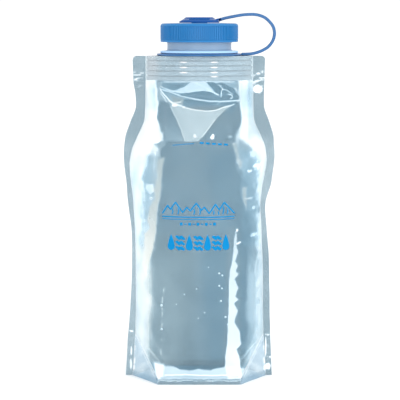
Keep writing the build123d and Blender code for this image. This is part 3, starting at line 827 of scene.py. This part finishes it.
# Foot x and top z of the lines on the slopes.
SLOPE_LINES = [
    (-23.6, 154.6), (-18.6, 155.2), (-4.8, 155.0), (0.2, 154.2), (12.0, 153.4), (16.2, 152.6), (20.4, 156.4),
    (24.0, 154.6),
]
# Middle (x, z) and radius.
BUBBLES = [
    (18.8, 74, 0.9), (22.8, 59.5, 0.9), (17.3, 87.4, 0.8), (19.7, 85, 0.7), (17.3, 98.4, 0.9),
    (20, 96.4, 0.8), (-33, 69, 1.1), (-33, 47.7, 0.9), (-2.4, 85, 0.55), (-13, 80, 0.5),
    (4.6, 64, 0.55), (-1, 59, 0.5), (24.6, 53, 0.5), (-20, 71, 0.45), (8, 104, 0.5),
]


def on_front(x, z, lift):
    """A point on the front film's outer face, lifted a little off it."""
    hit = FRONT_SURFACE.ray_cast(Vector((x, -100, z)), Vector((0, 1, 0)))[0]
    return x, (hit.y if hit else -30.0) - lift, z


def even_route(route, step):
    """The same route with extra points, at most a step apart."""
    path = [route[0]]
    for (x0, z0), (x1, z1) in zip(route, route[1:]):
        count = max(1, math.ceil(math.hypot(x1 - x0, z1 - z0) / step))
        path += [(x0 + (x1 - x0) * i / count, z0 + (z1 - z0) * i / count) for i in range(1, count + 1)]
    return path


def ribbon(points, faces, route, width):
    """Adds a printed line of a width along a route."""
    path = even_route(route, 0.9)
    across = 3 if width < 1.4 else 5
    start = len(points)
    for index, (x, z) in enumerate(path):
        along = heading(path, index)
        for column in range(across):
            off = width * (column / (across - 1) - 0.5)
            points.append(on_front(x - along.y * off, z + along.x * off, PRINT_LIFT))
    faces += grid_faces(across, len(path), start)


def settle(mesh, to_front=True):
    """Makes the faces of a mesh look outwards, or all of them to the front."""
    shape = bmesh.new()
    shape.from_mesh(mesh)
    bmesh.ops.recalc_face_normals(shape, faces=shape.faces)
    for side in shape.faces:
        if to_front and side.normal.y > 0:
            side.normal_flip()
    shape.to_mesh(mesh)
    shape.free()


def disc(points, faces, sides, rings, place):
    """Adds a disc. place(share, turn) gives the point at a share of the way out."""
    start = len(points)
    points.append(place(0, 0))
    for ring in range(1, rings + 1):
        for side in range(sides):
            points.append(place(ring / rings, 2 * math.pi * side / sides))
    for side in range(sides):
        after = (side + 1) % sides
        faces.append((start, start + 1 + side, start + 1 + after))
        for ring in range(rings - 1):
            a = start + 1 + ring * sides
            faces.append((a + side, a + sides + side, a + sides + after, a + after))


def drop(points, faces, x, z, half_width, height):
    """Adds a printed water drop that stands on its round end at height z."""
    middle = z + half_width

    def place(share, turn):
        up = -math.cos(turn)
        reach = half_width * (1 if up < 0 else 1 - 0.35 * up)
        tall = half_width if up < 0 else height - half_width
        out = share * reach * math.sin(turn) * (1 - 0.5 * max(0.0, up) ** 3)
        return on_front(x + out, middle + share * tall * up, PRINT_LIFT)

    disc(points, faces, sides=28, rings=5, place=place)


def bubble(points, faces, x, z, radius):
    """Adds an air bubble as a low lens on the film."""

    def place(share, turn):
        height = 0.32 * radius * math.sqrt(1 - share * share) + 0.05
        edge = radius * share
        return on_front(x + edge * math.cos(turn), z + edge * math.sin(turn), height)

    disc(points, faces, sides=16, rings=4, place=place)


def printing():
    """Plain printed signs: peaks over two lines, dashes, drops and waves, and a fill line."""
    points, faces = [], []
    ribbon(points, faces, SKYLINE, 1.15)
    for foot, top in SLOPE_LINES:
        ribbon(points, faces, [(foot, 150.0), (foot + 0.8, top - 2.4), (foot + 0.2, top)], 0.95)
    ribbon(points, faces, [(-32.2, 147.6), (30.4, 147.6)], 1.0)
    ribbon(points, faces, [(-32.2, 145.6), (30.4, 145.6)], 0.6)
    for index in range(9):
        x = -15.6 + index * 3.6
        ribbon(points, faces, [(x - 1.2, 141.6), (x + 1.2, 141.6)], 0.8 if index % 2 else 2.4)
    for index in range(7):
        x = -24.4 + index * 7.9
        if index % 2 == 0:
            drop(points, faces, x, 118.6, 3.1, 13.6)
            continue
        for level in range(3):
            wave = [(x - 3.6 + 0.6 * i, 120.4 + 4.6 * level + 0.9 * math.sin(i * 1.05)) for i in range(13)]
            ribbon(points, faces, wave, 2.3)
    ribbon(points, faces, [(-23, 209.5), (-13.5, 210.6), (-4.7, 211.2)], 0.55)
    for index in range(5):
        x, z = 0.4 + index * 5.2, 211.9 - 0.42 * index
        ribbon(points, faces, [(x, z), (x + 3.4, z - 0.28)], 1.5)
    piece = mesh_piece("front_print", points, faces, INK)
    settle(piece.data)
    thicken(piece, 0.06)


def bubbles():
    """Small air bubbles that cling to the front film."""
    points, faces = [], []
    for x, z, radius in BUBBLES:
        bubble(points, faces, x, z, radius)
    piece = mesh_piece("film_bubbles", points, faces, BUBBLE)
    settle(piece.data)
    thicken(piece, 0.05)


printing()
bubbles()


# ---- Welds and base ----
# Middle (x, z), half width, half height, tone: painted highlights on crinkles of the flat side welds.
RIGHT_MARKS = [
    (51.3, 256.5, 4.2, 3.6, 1.0), (50.5, 263.4, 3.0, 0.6, 0.75), (55.5, 266.0, 3.2, 0.6, 0.9),
    (51.6, 270.0, 1.6, 0.9, 0.8), (55.4, 271.2, 1.0, 1.0, 0.7), (61.5, 8.0, 2.6, 3.0, 1.0),
    (59.5, 26.0, 0.7, 9.0, 0.9), (61.0, 36.8, 2.2, 0.7, 0.7), (63.0, 16.5, 2.4, 0.6, 0.8),
]
LEFT_MARKS = [
    (-54.0, 268.6, 3.6, 0.6, 0.8), (-50.5, 270.5, 1.4, 0.6, 0.7), (-53.0, 266.6, 4.6, 0.4, 0.5),
    (-57.0, 271.5, 0.9, 0.8, 0.6), (-60.8, 40.0, 1.8, 0.8, 0.9), (-61.0, 22.0, 0.8, 4.0, 0.8),
    (-61.4, 10.0, 1.0, 5.0, 0.8),
]


def heel_x(share):
    """Where the side weld begins, from the floor (share 0) to the top of the fold (share 1)."""
    return BASE_CORNER_X + (BODY_LEVELS[0][1] - BASE_CORNER_X) * share


def side_seam(name, sign, node, seed, edge_pull, marks):
    """Flat weld outside the body: crinkled, with a rounded top corner, and painted highlights along its edges
    and on its crinkles.
    """
    columns, rows = 17, 340
    points, tones = [], []
    radius = 4.0
    wide_tone, low_tone = (0.21, -0.13) if sign > 0 else (0.13, 0.08)
    for row in range(rows):
        z_level = SHOULDER_Z * row / (rows - 1)
        inner = heel_x(min(1.0, z_level / FOLD_Z))
        if z_level > FOLD_Z:
            inner = reading(BODY_LEVELS, z_level)
            if sign > 0:
                inner += reading(RIGHT_BODY_PULL, z_level)
        inner += 0.1
        outer = reading(EDGE_LEVELS, z_level) + reading(edge_pull, z_level)
        outer = max(outer + 0.22 * rough(0, z_level, 1, 14, seed), inner + 1.5)
        for column in range(columns):
            share = column / (columns - 1)
            x = inner + share * (outer - inner)
            over = max(0.0, x - (outer - radius))
            drop_z = radius - math.sqrt(max(0.0, radius**2 - over**2)) if z_level > 200 else 0.0
            z = min(z_level, SHOULDER_Z - drop_z)
            y = 0.5 * rough(x, z, 12, 22, seed + 1) * share
            crease = math.exp(-(((z - 265) / 6) ** 2)) + 0.5 * math.exp(-(((z - 20) / 16) ** 2))
            y += 0.5 * crease * rough(x, z, 3.2, 2.4, seed + 2) * smooth(0, 0.2, share)
            points.append((sign * x, y, z))
            tone = -0.04 + wide_tone * smooth(235, 195, z) + low_tone * smooth(140, 110, z)
            tone += 0.06 * rough(x, z, 6, 10, seed + 4)
            if z > 268:
                tone += 0.10
            # Painted highlights along the weld's edges and on its crinkles.
            tone = max(tone, 0.35 * smooth(0.93, 1.0, share) + 0.2 * smooth(0.06, 0.0, share))
            tone = max(tone, 0.8 * crease * smooth(0.25, 0.5, rough(x, z, 3.6, 1.8, seed + 3)))
            for mark_x, mark_z, half_x, half_z, bright in marks:
                fray = 0.6 * rough(x, z, 1.7, 1.4, seed + 5) / max(1.0, half_z)
                away = math.hypot((sign * x - mark_x) / half_x, (z - mark_z) / half_z)
                tone += float(smooth(1.2, 0.8, away + fray)) * (bright - tone)
            tones.append(min(1.0, float(tone)))
    faces = grid_faces(columns, rows, flip=sign < 0)
    piece = mesh_piece(name, points, faces, WELD)
    paint(piece, tones)
    thicken(piece, 2 * PLY)
    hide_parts(node)


side_seam("seam_right", 1, "right_side_weld", 21.0, RIGHT_EDGE_PULL, RIGHT_MARKS)
side_seam("seam_left", -1, "left_side_weld", 31.0, LEFT_EDGE_PULL, LEFT_MARKS)


def corner_weld(name, side, node, seed):
    """Pair of welded triangles at the foot of a panel, with raised creases along each fold, painted with
    highlights along them.
    """
    across, up = 34, 48
    points, tones, faces = [], [], []
    for sign in (-1, 1):
        start = len(points)
        calm = 0.50 if sign < 0 else 0.44
        for row in range(up):
            v = row / (up - 1)
            z = FOLD_Z * v
            front_x, front_y = weld_line(z)
            front_x += 0.15
            for column in range(across):
                u = column / (across - 1)
                x = front_x + u * (heel_x(v) - front_x)
                y = front_y + u * (0.3 - front_y)
                reach = u * (1 - v) * 40
                ridge = math.exp(-((reach / 1.3) ** 2))
                second = math.exp(-(((reach - 3.6) / 0.7) ** 2)) * (1 if v < 0.93 else 0)
                wobble = 0.5 * rough(x, z, 7, 9, seed) * math.sin(math.pi * u) * (1 - v)
                lift = wobble + (0.35 * ridge + 0.25 * second) * (1 - v)
                points.append((sign * (x + 0.83 * lift), side * (y + 0.54 * lift), z))
                heel = float(smooth(0.84, 0.96, u) * smooth(-0.1, 0.25, rough(x, z, 3, 3, seed + 1)))
                foot = float(smooth(6.0, 4.0, z))
                streak = 0.25 * max(0.0, rough(x + z, z - x, 5, 16, seed + 2))
                # Painted highlights on the crease ridges and along the heel.
                tone = max(calm + streak, 0.95 * ridge, 0.85 * second, 0.95 * heel)
                tones.append(min(1.0, tone * (1 - 0.35 * foot)) if side < 0 else 1.0)
        flip = (sign > 0) == (side < 0)
        faces += grid_faces(across, up, start, flip=not flip)
    piece = mesh_piece(name, points, faces, GUSSET)
    paint(piece, tones, tones if side < 0 else [0.0] * len(tones))
    thicken(piece, 2 * PLY)
    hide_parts(node)


corner_weld("corner_folds_front", -1, "front_corner_welds", 41.0)
corner_weld("corner_folds_back", 1, "back_corner_welds", 43.0)


def base_band(name, side, node, seed):
    """Straight weld band at the foot of a panel, slightly wavy along its top."""
    columns, rows = 73, 8
    points, tones = [], []
    for row in range(rows):
        for column in range(columns):
            x = -35.4 + 70.8 * column / (columns - 1)
            top = SKIRT_Z + 0.5 * rough(x, 0, 8, 1, seed)
            z = 0.2 + (top - 0.2) * row / (rows - 1)
            y = BASE_HALF_DEPTH - 0.45 - 0.15 * rough(x, z, 7, 4, seed + 1)
            points.append((x, side * y, z))
            tones.append(0.90 + 0.10 * rough(x, z, 5, 2, seed + 2) if side < 0 else 1.0)
    faces = grid_faces(columns, rows, flip=side > 0)
    piece = mesh_piece(name, points, faces, GUSSET)
    paint(piece, tones, [0.25 if side < 0 else 0.0] * len(tones))
    thicken(piece, PLY)
    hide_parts(node)


base_band("base_weld_front", -1, "front_base_weld", 51.0)
base_band("base_weld_back", 1, "back_base_weld", 53.0)


def gusset():
    """Base film: the floor and the two folds that rise to the side welds."""
    points, tones, faces = [], [], []
    half_x, half_y = BASE_HALF_WIDTH, BASE_HALF_DEPTH - 0.9
    columns, rows = 41, 41
    for row in range(rows):
        for column in range(columns):
            u, v = 2 * column / (columns - 1) - 1, 2 * row / (rows - 1) - 1
            sag = 0.5 * (max(abs(u), abs(v))) ** 6
            z = 0.25 + sag + 0.25 * abs(rough(u * 36, v * 36, 12, 12, 61))
            points.append((u * half_x, v * half_y, z))
            tones.append(0.85 + 0.15 * rough(u * 36, v * 36, 16, 10, 62))
    faces += grid_faces(columns, rows)
    tip_x, tip_z = BODY_LEVELS[0][1] - 1.0, FOLD_Z - 1.0
    for sign in (-1, 1):
        start = len(points)
        for row in range(rows):
            v = row / (rows - 1)
            for column in range(columns):
                u = 2 * column / (columns - 1) - 1
                x = half_x + v * (tip_x - half_x)
                y = u * half_y * (1 - v)
                z = 0.7 + v * (tip_z - 0.7) - 1.6 * (1 - u * u) * math.sin(math.pi * v)
                z += 0.6 * rough(x, y, 9, 9, 63 + sign) * math.sin(math.pi * v) * (1 - u * u)
                points.append((sign * x, y, max(z, 0.3)))
                tones.append(0.90 + 0.1 * rough(x, y, 8, 8, 64))
        faces += grid_faces(columns, rows, start, flip=sign < 0)
    piece = mesh_piece("base_film", points, faces, GUSSET)
    paint(piece, tones, [0.6 if index < columns * rows else 0.0 for index in range(len(points))])
    thicken(piece, PLY)
    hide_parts("base_gusset_film")


gusset()


# ---- Spout, cap and tether ----
def dress(node, material):
    """Gives a CAD node its material."""
    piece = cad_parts[node]
    piece.data.materials.clear()
    piece.data.materials.append(material)


dress("closure_cap", CAP_BLUE)
dress("cap_button", BUTTON_BLUE)
dress("tether_cap_ring", BUTTON_BLUE)
dress("tether_neck_ring", STRAP_BLUE)
dress("spout_neck", NATURAL)
dress("spout_weld_base", WELD_BASE)

# Middle line of the strap (x, z), from the cap's ring round to the neck's ring.
STRAP_ROUTE = [
    (17.0, 316.6), (22.4, 318.3), (30.3, 319.9), (38.2, 321.2), (45.6, 321.6), (50.0, 321.3),
    (53.9, 320.3), (57.9, 318.4), (61.8, 314.8), (64.7, 310.7), (65.8, 305.6), (65.2, 300.9),
    (63.3, 296.9), (60.0, 293.1), (56.0, 290.6), (52.0, 288.9), (48.1, 287.8), (44.2, 287.2),
    (37.0, 286.9),
]
STRAP_HALF_WIDTH = 2.75
STRAP_HALF_THICKNESS = 1.3
STRAP_CORNER = 0.6


def smooth_path(route, steps):
    """Points of a smooth curve through a route."""
    padded = [np.array(point) for point in (route[0], *route, route[-1])]
    path = []
    for a, b, c, d in zip(padded, padded[1:], padded[2:], padded[3:]):
        for step in range(steps):
            u = step / steps
            turn = (2 * a - 5 * b + 4 * c - d) * u * u + (3 * b - a - 3 * c + d) * u**3
            path.append(tuple(0.5 * (2 * b + (c - a) * u + turn)))
    path.append(route[-1])
    return path


def strap():
    """The tether's strap: a flat moulded ribbon with rounded edges."""
    path = smooth_path(STRAP_ROUTE, 7)
    across, thick = STRAP_HALF_WIDTH - STRAP_CORNER, STRAP_HALF_THICKNESS - STRAP_CORNER
    section = []
    corners = [(0, across, thick), (90, -across, thick), (180, -across, -thick), (270, across, -thick)]
    for turn, middle_y, middle_t in corners:
        for step in range(4):
            angle = math.radians(turn + step * 30)
            y = middle_y + STRAP_CORNER * math.cos(angle)
            section.append((y, middle_t + STRAP_CORNER * math.sin(angle)))
    points, faces = [], []
    for index, (x, z) in enumerate(path):
        along = heading(path, index)
        for wide, high in section:
            points.append((x - along.y * high, wide, z + along.x * high))
    size = len(section)
    for ring in range(len(path) - 1):
        for i in range(size):
            j = (i + 1) % size
            a, b = ring * size + i, ring * size + j
            faces.append((a, b, b + size, a + size))
    faces.append(tuple(range(size))[::-1])
    last = (len(path) - 1) * size
    faces.append(tuple(range(last, last + size)))
    piece = mesh_object("strap_loop", points, faces, STRAP_BLUE)
    settle(piece.data, to_front=False)
    for polygon in piece.data.polygons:
        polygon.use_smooth = len(polygon.vertices) == 4
    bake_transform(piece)
    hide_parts("tether_strap")


strap()


# ---- Stage, light and camera ----
# In metres.
FLOOR_SIZE = 60
LIGHT_DISTANCE = 1.3
CAMERA_PLACE = Vector((0.0006, -1.350, 0.3139))
CAMERA_TARGET = Vector((0.0006, 0.0, 0.1582))
BOTTLE_MIDDLE = Vector((0, 0, 0.16))
CAMERA_LENS = 137.93  # millimetres


def stage():
    """A plain pale floor."""
    bpy.ops.mesh.primitive_plane_add(size=FLOOR_SIZE)
    floor = bpy.context.object
    floor.name = "floor"
    floor.location.z = -0.0003
    shader = Shader("floor_white")
    matt = shader.node("ShaderNodeBsdfPrincipled", Roughness=0.9, Base_Color=(0.98, 0.98, 0.98))
    matt.inputs["Specular IOR Level"].default_value = 0.0
    floor.data.materials.append(shader.show(matt))


def aim(holder, target):
    """Turns a light or a camera towards a point."""
    holder.rotation_euler = (target - holder.location).to_track_quat("-Z", "Y").to_euler()


def lamp_at(name, lamp, azimuth, elevation, distance):
    """Puts a lamp at an azimuth (0 is in front), facing the bottle's middle."""
    holder = bpy.data.objects.new(name, lamp)
    bpy.context.scene.collection.objects.link(holder)
    turn, rise = math.radians(azimuth), math.radians(elevation)
    offset = Vector((math.sin(turn) * math.cos(rise), -math.cos(turn) * math.cos(rise), math.sin(rise)))
    holder.location = BOTTLE_MIDDLE + offset * distance
    aim(holder, BOTTLE_MIDDLE)


def soft_light(name, azimuth, elevation, size_x, size_y, power):
    """A rectangular area light."""
    lamp = bpy.data.lights.new(name, "AREA")
    lamp.shape = "RECTANGLE"
    lamp.size = size_x
    lamp.size_y = size_y
    lamp.energy = power
    lamp_at(name, lamp, azimuth, elevation, LIGHT_DISTANCE)


def light_and_camera():
    """White surroundings, a broad fill, three soft lights and the camera."""
    scene = bpy.context.scene
    world = bpy.data.worlds.new("studio")
    scene.world = world
    world.use_nodes = True
    background = world.node_tree.nodes["Background"]
    background.inputs["Color"].default_value = (1.0, 1.0, 1.0, 1)
    background.inputs["Strength"].default_value = 1.07
    scene.view_settings.view_transform = "Standard"
    sun = bpy.data.lights.new("broad_fill", "SUN")
    sun.energy = 0.9
    sun.angle = math.radians(60)
    lamp_at("broad_fill", sun, 25, 32, 1.0)
    soft_light("key_right", 58, 12, 0.30, 1.0, 3.5)
    soft_light("strip_left", -72, 8, 0.05, 1.0, 2)
    soft_light("low_fill", -10, 2, 0.8, 0.5, 3)
    lens = bpy.data.cameras.new("camera")
    lens.lens = CAMERA_LENS
    lens.sensor_width = 36.0
    lens.clip_start = 0.05
    lens.clip_end = 200
    camera = bpy.data.objects.new("camera", lens)
    scene.collection.objects.link(camera)
    camera.location = CAMERA_PLACE
    aim(camera, CAMERA_TARGET)
    scene.camera = camera


stage()
light_and_camera()
